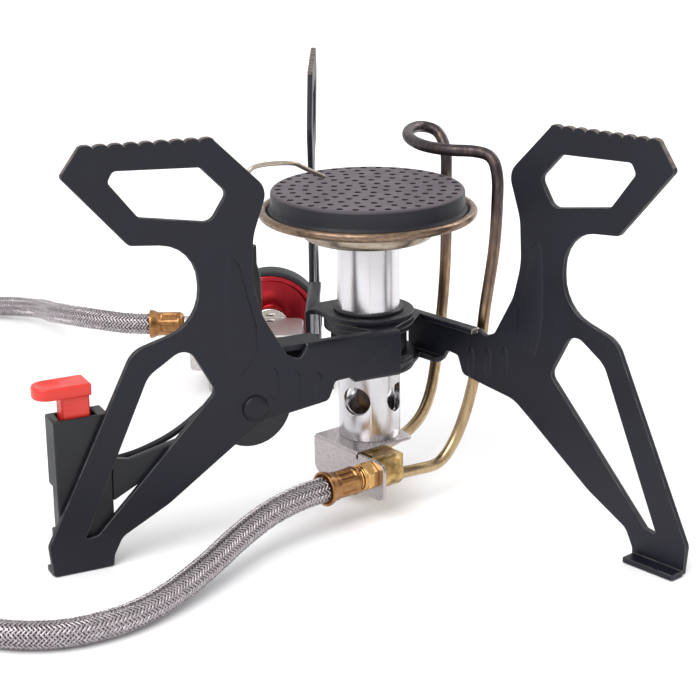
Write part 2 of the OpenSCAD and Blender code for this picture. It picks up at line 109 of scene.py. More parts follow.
def add_node(
    tree: bpy.types.NodeTree,
    kind: str,
    settings: dict[str, object] | None = None,
    values: dict[str | int, object] | None = None,
    links: dict[str | int, bpy.types.NodeSocket] | None = None,
    stops: Sequence[tuple[float, str]] = (),
) -> bpy.types.Node:
    """Adds a shader node with its settings and links.

    Args:
        tree: The material's node tree.
        kind: The node's type name in Blender.
        settings: Attributes of the node.
        values: Values of its input sockets.
        links: Output sockets that feed its input sockets.
        stops: Places and hex colours, for a colour ramp.

    Returns:
        The new node.
    """
    node = tree.nodes.new(kind)
    for name, value in (settings or {}).items():
        setattr(node, name, value)
    for socket, value in (values or {}).items():
        node.inputs[socket].default_value = value
    for socket, source in (links or {}).items():
        tree.links.new(source, node.inputs[socket])
    for k, (place, colour) in enumerate(stops):
        elements = node.color_ramp.elements
        element = elements[k] if k < 2 else elements.new(place)
        element.position = place
        element.color = linear(colour)
    return node


def size_to_scale(size_mm: float) -> float:
    """Returns a noise scale whose pattern repeats about every size_mm."""
    return 1 / (size_mm * MM)


def add_noise(tree: bpy.types.NodeTree, size_mm: Point, detail: float, rough: float) -> bpy.types.NodeSocket:
    """Adds a noise pattern that is stretched along the object's axes.

    Args:
        tree: The material's node tree.
        size_mm: How often it repeats along X, Y and Z.
        detail: How many finer patterns lie on it.
        rough: How strong the finer patterns are.

    Returns:
        The socket with its value.
    """
    place = add_node(tree, "ShaderNodeTexCoord").outputs["Object"]
    stretched = add_node(
        tree,
        "ShaderNodeMapping",
        values={"Scale": tuple(size_to_scale(s) for s in size_mm)},
        links={"Vector": place},
    )
    return add_node(
        tree,
        "ShaderNodeTexNoise",
        values={"Scale": 1.0, "Detail": detail, "Roughness": rough},
        links={"Vector": stretched.outputs["Vector"]},
    ).outputs["Fac"]


def add_range(
    tree: bpy.types.NodeTree,
    value: bpy.types.NodeSocket,
    given: tuple[float, float],
    made: tuple[float, float] = (0.0, 1.0),
) -> bpy.types.NodeSocket:
    """Turns one range of values into another, and holds the value at its ends.

    Args:
        tree: The material's node tree.
        value: The socket with the value.
        given: The range that it comes in.
        made: The range that it is turned into.

    Returns:
        The socket with the new value.
    """
    names = ("From Min", "From Max", "To Min", "To Max")
    ends = dict(zip(names, (*given, *made)))
    return add_node(tree, "ShaderNodeMapRange", values=ends, links={"Value": value}).outputs["Result"]


def smoothstep(x: float) -> float:
    """Returns 0 below 0, 1 above 1 and a smooth rise between."""
    x = min(1.0, max(0.0, x))
    return x * x * (3 - 2 * x)


# ---- Finishes ----


@dataclass(frozen=True)
class Finish:
    """A surface finish that becomes one material."""

    name: str
    colour: str
    roughness: float
    metallic: float = 0.0
    ior: float = 1.5

    def material(self) -> bpy.types.Material:
        """Returns the finish as a material, made the first time it is asked for.

        Returns:
            The Blender material of this name.
        """
        made = bpy.data.materials.get(self.name)
        if made is None:
            made = bpy.data.materials.new(self.name)
            made.use_nodes = True
            shader = made.node_tree.nodes["Principled BSDF"]
            shader.inputs["Base Color"].default_value = linear(self.colour)
            shader.inputs["Roughness"].default_value = self.roughness
            shader.inputs["Metallic"].default_value = self.metallic
            shader.inputs["IOR"].default_value = self.ior
            self.pattern(made.node_tree, shader)
        return made

    def pattern(self, tree: bpy.types.NodeTree, shader: bpy.types.Node) -> None:
        """Adds what varies over the surface; a plain finish adds nothing."""


@dataclass(frozen=True)
class GrainedFinish(Finish):
    """A coat or a moulded face with a fine grain and soft clouds of a second tone."""

    tone: str = "#000000"
    cloud_mm: float = 14.0
    grain_mm: float = 0.45
    grain_depth_mm: float = 0.012
    roughness_swing: float = 0.08

    def pattern(self, tree: bpy.types.NodeTree, shader: bpy.types.Node) -> None:
        """Adds the clouds of tone, the uneven gloss and the grain.

        Args:
            tree: The material's node tree.
            shader: Its Principled shader.
        """
        place = add_node(tree, "ShaderNodeTexCoord").outputs["Object"]
        cloud = add_node(
            tree,
            "ShaderNodeTexNoise",
            values={"Scale": size_to_scale(self.cloud_mm), "Detail": 5.0, "Roughness": 0.6},
            links={"Vector": place},
        )
        tones = add_node(
            tree,
            "ShaderNodeValToRGB",
            links={"Fac": cloud.outputs["Fac"]},
            stops=((0.38, self.colour), (0.66, self.tone)),
        )
        rough, swing = self.roughness, self.roughness_swing
        gloss = add_range(tree, cloud.outputs["Fac"], (0.3, 0.7), (rough - swing, rough + swing))
        grain = add_node(
            tree,
            "ShaderNodeTexNoise",
            values={"Scale": size_to_scale(self.grain_mm), "Detail": 2.0},
            links={"Vector": place},
        )
        bump = add_node(
            tree,
            "ShaderNodeBump",
            values={"Strength": 0.35, "Distance": self.grain_depth_mm * MM},
            links={"Height": grain.outputs["Fac"]},
        )
        tree.links.new(tones.outputs["Color"], shader.inputs["Base Color"])
        tree.links.new(gloss, shader.inputs["Roughness"])
        tree.links.new(bump.outputs["Normal"], shader.inputs["Normal"])


@dataclass(frozen=True)
class StreakedMetal(Finish):
    """Metal that was brushed or turned, with streaks longer one way than the other."""

    tone: str = "#000000"
    streak_mm: Point = (0.3, 8.0, 8.0)
    depth_mm: float = 0.01
    roughness_swing: float = 0.07
    metallic: float = 1.0

    def pattern(self, tree: bpy.types.NodeTree, shader: bpy.types.Node) -> None:
        """Adds the streaks to the colour, the gloss and the relief.

        Args:
            tree: The material's node tree.
            shader: Its Principled shader.
        """
        streak = add_noise(tree, self.streak_mm, detail=4.0, rough=0.65)
        tones = add_node(
            tree,
            "ShaderNodeValToRGB",
            links={"Fac": streak},
            stops=((0.35, self.tone), (0.62, self.colour)),
        )
        rough, swing = self.roughness, self.roughness_swing
        gloss = add_range(tree, streak, (0.3, 0.7), (rough + swing, rough - swing))
        bump = add_node(
            tree,
            "ShaderNodeBump",
            values={"Strength": 0.25, "Distance": self.depth_mm * MM},
            links={"Height": streak},
        )
        tree.links.new(tones.outputs["Color"], shader.inputs["Base Color"])
        tree.links.new(gloss, shader.inputs["Roughness"])
        tree.links.new(bump.outputs["Normal"], shader.inputs["Normal"])


@dataclass(frozen=True)
class TintedMetal(Finish):
    """Metal that heat or oxide has tinted: patches of colour that can also change with height."""

    tints: tuple[tuple[float, str], ...] = ()
    patch_mm: Point = (6.0, 6.0, 6.0)
    low_mm: float = 0.0
    high_mm: float = 100.0
    by_height: float = 0.0
    contrast: float = 0.2
    metallic: float = 1.0

    def pattern(self, tree: bpy.types.NodeTree, shader: bpy.types.Node) -> None:
        """Adds the tints, and a gloss that the darkest patches have lost.

        Args:
            tree: The material's node tree.
            shader: Its Principled shader.
        """
        place = add_node(tree, "ShaderNodeTexCoord").outputs["Object"]
        patch = add_noise(tree, self.patch_mm, detail=6.0, rough=0.68)
        height = add_node(tree, "ShaderNodeSeparateXYZ", links={"Vector": place}).outputs["Z"]
        low, high, half = self.low_mm * MM, self.high_mm * MM, 0.5 * self.by_height
        rise = add_range(tree, height, (low, high), (-half, half))
        spread = add_range(tree, patch, (0.5 - self.contrast, 0.5 + self.contrast))
        heat = add_node(
            tree,
            "ShaderNodeMath",
            settings={"operation": "ADD", "use_clamp": True},
            links={0: spread, 1: rise},
        ).outputs["Value"]
        tones = add_node(tree, "ShaderNodeValToRGB", links={"Fac": heat}, stops=self.tints)
        gloss = add_range(tree, heat, (0.0, 1.0), (self.roughness - 0.06, self.roughness + 0.16))
        bump = add_node(
            tree,
            "ShaderNodeBump",
            values={"Strength": 0.3, "Distance": 0.02 * MM},
            links={"Height": patch},
        )
        tree.links.new(tones.outputs["Color"], shader.inputs["Base Color"])
        tree.links.new(gloss, shader.inputs["Roughness"])
        tree.links.new(bump.outputs["Normal"], shader.inputs["Normal"])


@dataclass(frozen=True)
class CapFinish(GrainedFinish):
    """Dark coating whose flat top is a paler reddish grey, flame-dulled and with a painted sheen, and whose
    ports are painted nearly black as shade.
    """

    top_dulled_and_sheen_colour: str = "#50474f"
    port_shade: str = "#060506"
    # The cap's top, how far below it the top's tone and the painted port shade change, and the radius of the
    # ports
    top_mm: float = 86.0
    top_fade_mm: tuple[float, float] = (0.9, 0.1)
    port_shade_fade_mm: tuple[float, float] = (0.04, 0.12)
    ports_mm: float = 25.0

    def pattern(self, tree: bpy.types.NodeTree, shader: bpy.types.Node) -> None:
        """Adds the grain, the paler top above the side (flame dulling with a painted sheen), and the painted
        shade in the ports below the top.

        Args:
            tree: The material's node tree.
            shader: Its Principled shader.
        """
        super().pattern(tree, shader)
        side = shader.inputs["Base Color"].links[0].from_socket
        place = add_node(tree, "ShaderNodeTexCoord").outputs["Object"]
        height = add_node(tree, "ShaderNodeSeparateXYZ", links={"Vector": place}).outputs["Z"]
        on_top = add_range(tree, height, self.depths(self.top_fade_mm))
        flat = add_node(
            tree,
            "ShaderNodeVectorMath",
            settings={"operation": "MULTIPLY"},
            values={1: (1.0, 1.0, 0.0)},
            links={0: place},
        )
        out = add_node(
            tree,
            "ShaderNodeVectorMath",
            settings={"operation": "LENGTH"},
            links={0: flat.outputs["Vector"]},
        )
        inside = add_range(tree, out.outputs["Value"], (self.ports_mm * MM, (self.ports_mm - 0.1) * MM))
        sunk = add_range(tree, height, self.depths(self.port_shade_fade_mm))
        in_port = add_node(
            tree, "ShaderNodeMath", settings={"operation": "MULTIPLY"}, links={0: inside, 1: sunk}
        )
        # The paler top is part oxide, part painted sheen; the near-black in the ports is painted shade
        topped = self.mixed(tree, on_top, side, self.top_dulled_and_sheen_colour)
        port_shaded = self.mixed(tree, in_port.outputs["Value"], topped, self.port_shade)
        tree.links.new(port_shaded, shader.inputs["Base Color"])

    def depths(self, fade_mm: tuple[float, float]) -> tuple[float, float]:
        """Returns the two heights, in metres, that lie this far below the cap's top."""
        return ((self.top_mm - fade_mm[0]) * MM, (self.top_mm - fade_mm[1]) * MM)

    def mixed(
        self, tree: bpy.types.NodeTree, share: bpy.types.NodeSocket, under: bpy.types.NodeSocket, over: str
    ) -> bpy.types.NodeSocket:
        """Lays a share of one colour over another.

        Args:
            tree: The material's node tree.
            share: The socket with the share.
            under: The socket with the colour below.
            over: The colour above, as #rrggbb.

        Returns:
            The socket with the mixed colour.
        """
        return add_node(
            tree,
            "ShaderNodeMix",
            settings={"data_type": "RGBA"},
            values={7: linear(over)},
            links={0: share, 6: under},
        ).outputs[2]


# Heat-proof non-stick coat on sheet steel: a satin blue-black with a faint grain and slightly cloudy gloss
BLACK_COAT = GrainedFinish("heatproof_black_coat", "#11121b", 0.46, tone="#161722", ior=1.36)
# The same coat on the rounded sheet edges, paler and browner: a painted highlight round every outline, with a
# little rubbed coat
RUBBED_AND_HIGHLIGHT_EDGE = GrainedFinish("rubbed_black_coat", "#24242b", 0.4, tone="#4c4844", ior=1.36, cloud_mm=4.0)
# Teeth worn by pots: brownish steel shows through the coat
WORN_TEETH = GrainedFinish("pot_worn_coat", "#3f3a3a", 0.42, tone="#6f625a", ior=1.36, cloud_mm=1.2)
# Bare sheet where the coat is cut away: a bright, rough little face
BARE_CUT = StreakedMetal("bare_cut_steel", "#d0c6be", 0.34, tone="#9c8e84")
# Cap coat: nearly black on the side, reddish grey and matt on top from oxide with a painted sheen, and
# painted shade nearly black in the ports
CAP_COAT = CapFinish(
    "oxidised_cap_coat", "#14151d", 0.5, tone="#191a22", ior=1.4, cloud_mm=5.0, grain_mm=0.3
)
# Heat-tinted rim: brown with straw and dark blue-grey patches that run round it
RIM_STEEL = TintedMetal(
    "heat_tinted_rim_steel",
    "#7a6350",
    0.28,
    tints=((0.0, "#a08b76"), (0.4, "#86705e"), (0.7, "#6a584d"), (1.0, "#4a4145")),
    patch_mm=(2.4, 2.4, 0.8),
    contrast=0.3,
)
# Collector: paler, drawn stainless with a straw tint
COLLECTOR_STEEL = TintedMetal(
    "straw_tinted_steel",
    "#a89a88",
    0.24,
    tints=((0.0, "#b5a999"), (0.5, "#988b7c"), (1.0, "#6f6458")),
    patch_mm=(9.0, 9.0, 2.0),
)
# Generator tube: golden brown below and mottled dark brown where the flame reaches it
GENERATOR_STEEL = TintedMetal(
    "flame_tinted_tube_steel",
    "#8a7050",
    0.28,
    tints=((0.0, "#b8a07c"), (0.3, "#9d8466"), (0.55, "#7d6755"), (0.8, "#5c4f4a"), (1.0, "#413b3e")),
    patch_mm=(1.8, 1.8, 9.0),
    low_mm=14.0,
    high_mm=94.0,
    by_height=0.95,
    contrast=0.38,
)
# Turned aluminium tube: bright, with very fine rings round it that blur its long reflections
TURNED_ALUMINIUM = StreakedMetal(
    "turned_aluminium",
    "#cfcdd0",
    0.25,
    tone="#cbc9cc",
    streak_mm=(30.0, 30.0, 0.5),
    depth_mm=0.0002,
    roughness_swing=0.01,
)
# Bead-blasted aluminium: pale, matt and even, with a fine sparkle
BLASTED_ALUMINIUM = StreakedMetal(
    "bead_blasted_aluminium", "#cfcac9", 0.42, tone="#b7b1b0", streak_mm=(0.35, 0.35, 0.35), depth_mm=0.03
)
# Brushed stainless sheet: grey with a warm cast and streaks along the sheet
BRUSHED_STAINLESS = StreakedMetal(
    "brushed_stainless", "#bfb8b8", 0.28, tone="#a69e9f", streak_mm=(0.3, 5.0, 0.3), depth_mm=0.005
)
# Machined brass: bright yellow metal with turning marks
MACHINED_BRASS = StreakedMetal(
    "machined_brass", "#d6ab70", 0.2, tone="#b58a54", streak_mm=(0.4, 0.4, 2.0), depth_mm=0.005
)
# Crimped brass: browner and duller, with oxide in the low places
CRIMPED_BRASS = TintedMetal(
    "crimped_brass",
    "#9c6f3c",
    0.28,
    tints=((0.0, "#bd8f5c"), (0.45, "#a0744a"), (0.8, "#7c573a"), (1.0, "#5c4332")),
    patch_mm=(3.0, 3.0, 3.0),
    contrast=0.3,
)
# Brazed brass block: golden, patchy, with pale flux stains
BRAZED_BRASS = TintedMetal(
    "brazed_brass",
    "#b8935a",
    0.34,
    tints=((0.0, "#d8c193"), (0.4, "#b99a62"), (0.75, "#8f7142"), (1.0, "#67523a")),
    patch_mm=(2.6, 2.6, 2.6),
)
# Drawn stainless wire of the braid: silver, slightly warm
BRAID_WIRE = StreakedMetal("braid_wire", "#bfb8bb", 0.3, tone="#8f888c", streak_mm=(0.9, 0.9, 0.9))
# Rubber gas tube under the braid: a dull black that shows in the gaps
HOSE_RUBBER = GrainedFinish("hose_rubber", "#171517", 0.8, tone="#1f1c1e", cloud_mm=3.0)
# Spring and clip steel: plain grey drawn wire
SPRING_STEEL = StreakedMetal("spring_steel", "#b4b4b8", 0.3, tone="#94949a")
# Black-oxide spring steel of the hub's retaining rings
OXIDE_STEEL = GrainedFinish("black_oxide_steel", "#121218", 0.46, tone="#17171d", cloud_mm=4.0)
# Electrode wire: pale steel, browned by the flame near the burner
ELECTRODE_STEEL = TintedMetal(
    "electrode_steel",
    "#b5a99c",
    0.3,
    tints=((0.0, "#c4bab0"), (0.5, "#a39688"), (1.0, "#6d615a")),
    patch_mm=(4.0, 4.0, 4.0),
)
# Polished nickel on the gland: nearly a mirror
POLISHED_NICKEL = StreakedMetal("polished_nickel", "#eee9e2", 0.12, tone="#ddd6cd", depth_mm=0.001)
# Injection-moulded black ABS: even, with the faint grain of its mould
BLACK_ABS = GrainedFinish("black_abs", "#0a0c13", 0.46, tone="#0f1118", ior=1.46, grain_mm=0.35)
# Injection-moulded red-orange ABS: clean and slightly glossy
RED_ABS = GrainedFinish(
    "red_orange_abs", "#cf2d20", 0.36, tone="#c9291d", ior=1.53, cloud_mm=9.0, grain_depth_mm=0.004
)
# Red anodised aluminium: deep red metal with a turned sheen
RED_ANODISED = StreakedMetal(
    "red_anodised_aluminium", "#b8333c", 0.34, tone="#ad2c35", streak_mm=(6.0, 0.5, 6.0), depth_mm=0.0003
)
# Moulded rubber band of the knob and the seals: blue-grey black, matt
KNOB_RUBBER = GrainedFinish("moulded_rubber", "#14171c", 0.62, tone="#1a1e23", ior=1.52, cloud_mm=6.0)
# Piezo ceramic: dense, pale ochre
PIEZO_CERAMIC = GrainedFinish("piezo_ceramic", "#c8b070", 0.5, tone="#bda264", cloud_mm=2.0)
# Studio floor: plain, pale and matt
STUDIO_PAPER = Finish("studio_paper", "#f7f7f8", 0.9)
# Studio flag: black card that only reflections see
STUDIO_FLAG = Finish("studio_flag", "#101014", 0.9)


# ---- Meshes ----


def make_piece(
    name: str, mesh: bmesh.types.BMesh, finishes: Sequence[Finish], body: str
) -> bpy.types.Object:
    """Turns a built mesh into a piece that rides on a CAD body.

    Args:
        name: The piece's name.
        mesh: The built mesh, in metres, which is freed.
        finishes: Its finishes, in the order of its faces' material numbers.
        body: The CAD body that it moves with.

    Returns:
        The new object.
    """
    data = bpy.data.meshes.new(name)
    mesh.to_mesh(data)
    mesh.free()
    for finish in finishes:
        data.materials.append(finish.material())
    piece = bpy.data.objects.new(name, data)
    bpy.context.scene.collection.objects.link(piece)
    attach(piece, body)
    return piece


def dress(node: str, finish: Finish) -> bpy.types.Object:
    """Gives a CAD node that stays in view its finish.

    Args:
        node: The node's name.
        finish: Its finish.

    Returns:
        The node's object.
    """
    piece = frame["nodes"][node]
    piece.data.materials.clear()
    piece.data.materials.append(finish.material())
    return piece


def body_of(node: str) -> str:
    """Returns the CAD body that a node rides on."""
    return frame["nodes"][node]["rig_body"]


def welded(node: str) -> bmesh.types.BMesh:
    """Copies a CAD node's mesh and joins its split corners.

    Args:
        node: The node's name.

    Returns:
        The copy, in metres.
    """
    mesh = bmesh.new()
    mesh.from_mesh(frame["nodes"][node].data)
    bmesh.ops.remove_doubles(mesh, verts=mesh.verts, dist=0.002 * MM)
    return mesh


def soften(node: str, finishes: Sequence[Finish], edge_mm: float, steps: int = 2) -> bpy.types.Object:
    """Rebuilds a CAD node with rounded edges, as the pressed, cast or moulded piece has.

    Args:
        node: The node that the new piece stands for.
        finishes: The main finish first, and last the one of the rounded edges.
        edge_mm: Width of the rounding.
        steps: Number of faces across a rounding.

    Returns:
        The new piece.
    """
    crease, flat = math.radians(34), math.radians(1)
    stray = 0.6 * edge_mm * MM
    mesh = welded(node)
    surface = BVHTree.FromBMesh(mesh)
    bmesh.ops.dissolve_limit(
        mesh, angle_limit=flat, verts=mesh.verts, edges=mesh.edges, use_dissolve_boundaries=False
    )
    bmesh.ops.triangulate(mesh, faces=mesh.faces, ngon_method="BEAUTY")
    for face in mesh.faces:
        turns = [e.calc_face_angle(0.0) for e in face.edges]
        face.smooth = any(flat < turn < crease for turn in turns)
    sharp = [e for e in mesh.edges if e.is_manifold and e.calc_face_angle(0.0) > crease]
    made = bmesh.ops.bevel(
        mesh,
        geom=sharp,
        offset=edge_mm * MM,
        offset_type="OFFSET",
        segments=steps,
        profile=0.5,
        affect="EDGES",
        clamp_overlap=False,
        material=len(finishes) - 1,
    )
    for face in made["faces"]:
        face.smooth = True
    # A corner that the rounding has thrown off the surface goes back to it
    for vert in mesh.verts:
        nearest, _, _, gap = surface.find_nearest(vert.co)
        if gap > stray:
            vert.co = nearest
    piece = make_piece(f"{node}_rounded", mesh, finishes, body_of(node))
    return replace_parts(piece, node)


def swell(node: str, finish: Finish, push_mm: float, name: str) -> bpy.types.Object:
    """Rebuilds a CAD tube or wire as a smooth round one.

    Args:
        node: The node that the new piece stands for.
        finish: Its finish.
        push_mm: How far its corners are pushed out, so that the smooth surface has the true size.
        name: The new piece's name.

    Returns:
        The new piece.
    """
    mesh = welded(node)
    bmesh.ops.join_triangles(mesh, faces=mesh.faces, angle_face_threshold=0.6, angle_shape_threshold=3.1)
    mesh.normal_update()
    for vert, outward in [(v, v.normal.copy()) for v in mesh.verts]:
        vert.co += outward * push_mm * MM
    for face in mesh.faces:
        face.smooth = True
    piece = make_piece(name, mesh, (finish,), body_of(node))
    rounding = piece.modifiers.new("round", "SUBSURF")
    rounding.levels = rounding.render_levels = 2
    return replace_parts(piece, node)


def turned(
    profile: Sequence[tuple[float, float]], steps: int, place: Matrix, relief: Callable[[float, float], float]
) -> bmesh.types.BMesh:
    """Turns a profile about its axis.

    Args:
        profile: Distances along the axis and radii, in mm, that start and end on the axis.
        steps: Number of steps round the axis.
        place: Takes the axis, +Z, to its place in the frame, in metres.
        relief: Returns how much is taken off the radius at a place along and an angle round.

    Returns:
        A closed mesh.
    """
    mesh = bmesh.new()
    rings: list[list[bmesh.types.BMVert]] = []
    for along, radius in profile:
        count = steps if radius > 0 else 1
        ring = []
        for k in range(count):
            angle = math.tau * k / steps
            r = (radius - (relief(along, angle) if radius > 0 else 0.0)) * MM
            point = Vector((r * math.cos(angle), r * math.sin(angle), along * MM))
            ring.append(mesh.verts.new(place @ point))
        rings.append(ring)
    for low, high in zip(rings, rings[1:]):
        for k in range(steps):
            n = (k + 1) % steps
            corners = [low[k % len(low)], low[n % len(low)], high[n % len(high)], high[k % len(high)]]
            mesh.faces.new(list(dict.fromkeys(corners))).smooth = True
    bmesh.ops.recalc_face_normals(mesh, faces=mesh.faces)
    return mesh


# ---- Hose ----


@dataclass
class BraidedHose:
    """A rubber gas tube in a woven wire cover, with a crimped brass ferrule at each end."""

    # The same route as the CAD hose, from the burner round the left of the stove to the valve
    route: tuple[Point, ...] = (
        (-12.7, -30.9, 12), (-19.3, -36.1, 11.6), (-27, -43.3, 10.2), (-34.3, -53, 8), (-41, -64.2, 5.8),
        (-47.8, -75, 4.3), (-54.3, -83.6, 3.6), (-62, -90.8, 3.5), (-72.5, -95.9, 3.5), (-84.5, -96.3, 3.5),
        (-96, -92.2, 3.5), (-106, -84.2, 3.5), (-113.5, -73.5, 3.5), (-119.5, -60, 3.5), (-125, -44, 3.5),
        (-131, -25.5, 3.5), (-137.5, -5, 3.5), (-144, 15.5, 3.5), (-150.5, 36, 3.5), (-157, 56.5, 3.5),
        (-163.5, 77, 3.5), (-169.5, 95.5, 3.5), (-173.8, 111, 3.5), (-175.8, 124, 3.5), (-174.5, 137, 3.5),
        (-169, 149.5, 3.5), (-160.3, 159, 3.5), (-148.7, 164.3, 3.5), (-136.3, 165.2, 3.8),
        (-124.8, 161.6, 4.7), (-115.8, 153.3, 6.5), (-110.8, 141.8, 9.3), (-107.5, 129.5, 12.5),
        (-102.8, 118, 15.5), (-95.5, 108.6, 17.3), (-87, 103, 17.7), (-78.3, 100.3, 17.3), (-70.5, 100, 17),
    )
    diameter: float = 7.0
    length: float = 515.0
    wires: int = 16
    lead: float = 17.6
    wire_width: float = 0.78
    wire_thickness: float = 0.3
    weave_height: float = 0.16
    ring_step: float = 0.6
    core_radius: float = 2.95
    core_sides: int = 20
    core_rings: int = 4
    # The direction in degrees in which the hose leaves the inlet
    inlet_azimuth: float = 218.0
    ferrule_length: float = 11.0
    ferrule_radius: float = 3.9
    ferrule_steps: int = 96
    # Where the crimped panels start and end along a ferrule, how deep they are pressed, and their ends' slope
    crimp: Point = (1.7, 7.4, 0.5)
    crimp_slope: float = 0.6
    crimp_panels: int = 6
    line: list[Vector] = field(default_factory=list)

    def build(self) -> list[bpy.types.Object]:
        """Builds the hose and its ferrules.

        Returns:
            The pieces.
        """
        self.line = self.centre_line()
        inlet = math.radians(self.inlet_azimuth)
        ferrules = [
            self.ferrule("ferrule_near", self.route[0], Vector((math.cos(inlet), math.sin(inlet), 0))),
            self.ferrule("ferrule_far", self.route[-1], Vector((-1, 0, 0))),
        ]
        hose = self.hose()
        return [hose, *ferrules]

    def centre_line(self) -> list[Vector]:
        """Follows a smooth curve through the route.

        Returns:
            Points on it about ring_step apart, in mm.
        """
        fine_steps = 40
        knots = [Vector(p) for p in self.route]
        knots = [2 * knots[0] - knots[1], *knots, 2 * knots[-1] - knots[-2]]
        fine: list[Vector] = []
        for a, b, c, d in zip(knots, knots[1:], knots[2:], knots[3:]):
            for k in range(fine_steps):
                t = k / fine_steps
                cubic = (3 * b - a - 3 * c + d) * t**3
                fine.append(0.5 * (2 * b + (c - a) * t + (2 * a - 5 * b + 4 * c - d) * t * t + cubic))
        fine.append(knots[-2])
        spaced, gone = [fine[0]], 0.0
        for a, b in zip(fine, fine[1:]):
            gone += (b - a).length
            if gone >= self.ring_step:
                spaced.append(b)
                gone = 0.0
        if (spaced[-1] - fine[-1]).length > 0.5 * self.ring_step:
            spaced.append(fine[-1])
        return spaced

    def frames(self) -> list[tuple[Vector, Vector, Vector, float]]:
        """Carries a pair of side vectors along the centre line without twist.

        Returns:
            For each point: the point, two side vectors, and the distance gone.
        """
        side = Vector((0, 0, 1))
        gone = 0.0
        made = []
        for k, point in enumerate(self.line):
            ahead = self.line[min(k + 1, len(self.line) - 1)] - self.line[max(k - 1, 0)]
            ahead.normalize()
            side = (side - side.dot(ahead) * ahead).normalized()
            if k:
                gone += (point - self.line[k - 1]).length
            made.append((point, side.copy(), ahead.cross(side), gone))
        return made

    def hose(self) -> bpy.types.Object:
        """Builds the woven wires over the rubber tube as one closed mesh.

        Returns:
            The hose.
        """
        mesh = bmesh.new()
        rings = self.frames()
        self.add_core(mesh, rings)
        for winding in Winding:
            for k in range(self.wires):
                self.add_wire(mesh, rings, winding, math.tau * k / self.wires)
        hose = make_piece("hose_braid", mesh, (HOSE_RUBBER, BRAID_WIRE), "burner")
        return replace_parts(hose, "hose")

    def add_core(self, mesh: bmesh.types.BMesh, rings: list[tuple[Vector, Vector, Vector, float]]) -> None:
        """Adds the rubber tube with closed ends, whose rings stand core_rings frames apart.

        Args:
            mesh: The mesh to add to.
            rings: The frames along the centre line.
        """
        sides = self.core_sides
        last: list[bmesh.types.BMVert] = []
        for point, up, across, _ in rings[:: self.core_rings] + rings[-1:]:
            ring = []
            for k in range(sides):
                a = math.tau * k / sides
                place = point + self.core_radius * (math.cos(a) * up + math.sin(a) * across)
                ring.append(mesh.verts.new(place * MM))
            if last:
                for k in range(sides):
                    n = (k + 1) % sides
                    mesh.faces.new((last[k], last[n], ring[n], ring[k])).smooth = True
            else:
                mesh.faces.new(ring[::-1])
            last = ring
        mesh.faces.new(last)

    def add_wire(
        self,
        mesh: bmesh.types.BMesh,
        rings: list[tuple[Vector, Vector, Vector, float]],
        winding: Winding,
        start: float,
    ) -> None:
        """Adds one flat bundle of wires, which goes over two others and under two.

        Args:
            mesh: The mesh to add to.
            rings: The frames along the centre line.
            winding: The way it winds.
            start: Its angle where the hose starts.
        """
        thick, half = self.wire_thickness / 2, self.wire_width / 2
        middle = self.diameter / 2 - self.weave_height - thick
        rows = self.wires / 2
        # Along the hose and round it, this is the way across a wire
        slope = math.atan2(math.tau * middle, self.lead)
        aside, along = half * math.cos(slope) / middle, -half * math.sin(slope)
        last: list[bmesh.types.BMVert] = []
        for k, (point, up, across, gone) in enumerate(rings):
            angle = start + winding.value * math.tau * gone / self.lead
            radius = middle + winding.value * self.weave_height * math.sin(rows * angle)
            ahead = up.cross(across)
            ring = []
            for turn, lift in ((-1, 0.0), (0, thick), (1, 0.0), (0, -thick)):
                a = angle + turn * aside * winding.value
                r = radius + lift
                place = point + r * (math.cos(a) * up + math.sin(a) * across) + turn * along * ahead
                ring.append(mesh.verts.new(place * MM))
            if last:
                for n in range(4):
                    face = mesh.faces.new((last[n], last[n - 1], ring[n - 1], ring[n]))
                    face.smooth = True
                    face.material_index = 1
            if not last or k == len(rings) - 1:
                end = mesh.faces.new(ring if last else ring[::-1])
                end.material_index = 1
            last = ring

    def ferrule(self, node: str, mouth: Point, out: Vector) -> bpy.types.Object:
        """Builds a ferrule with crimped panels and a flared mouth round the hose.

        Args:
            node: The CAD node that it stands for.
            mouth: The middle of its mouth, where the hose comes out.
            out: The way the hose comes out.

        Returns:
            The ferrule.
        """
        low, high, depth = self.crimp
        radius, slope, panel_steps = self.ferrule_radius, self.crimp_slope, 24
        start = Vector(mouth) - out * self.ferrule_length
        place = Matrix.Translation(start * MM) @ out.to_track_quat("Z", "Y").to_matrix().to_4x4()

        def pressed(along: float, angle: float) -> float:
            """Presses the panels in.

            Args:
                along: Distance along the ferrule.
                angle: Angle round it.

            Returns:
                How much is taken off the radius.
            """
            round_way = smoothstep((abs(math.cos(self.crimp_panels / 2 * angle)) - 0.42) / 0.22)
            long_way = smoothstep((along - low) / slope) * smoothstep((high - along) / slope)
            return depth * round_way * long_way

        profile = [(0, 0), (0, 3.0), (0.2, 3.3), (0.8, 3.75), (1.2, radius)]
        profile += [(low + (high - low) * k / panel_steps, radius) for k in range(panel_steps + 1)]
        profile += [(8.2, radius), (8.9, 4.15), (9.7, 4.5), (10.3, 4.68), (10.8, 4.7), (11.0, 4.55)]
        profile += [(11.0, 4.2), (10.8, 3.95), (10.2, 3.8), (9.4, 3.7), (9.4, 0)]
        mesh = turned(profile, self.ferrule_steps, place, pressed)
        piece = make_piece(f"{node}_crimped", mesh, (CRIMPED_BRASS,), body_of(node))
        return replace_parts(piece, node)


# ---- Legs ----


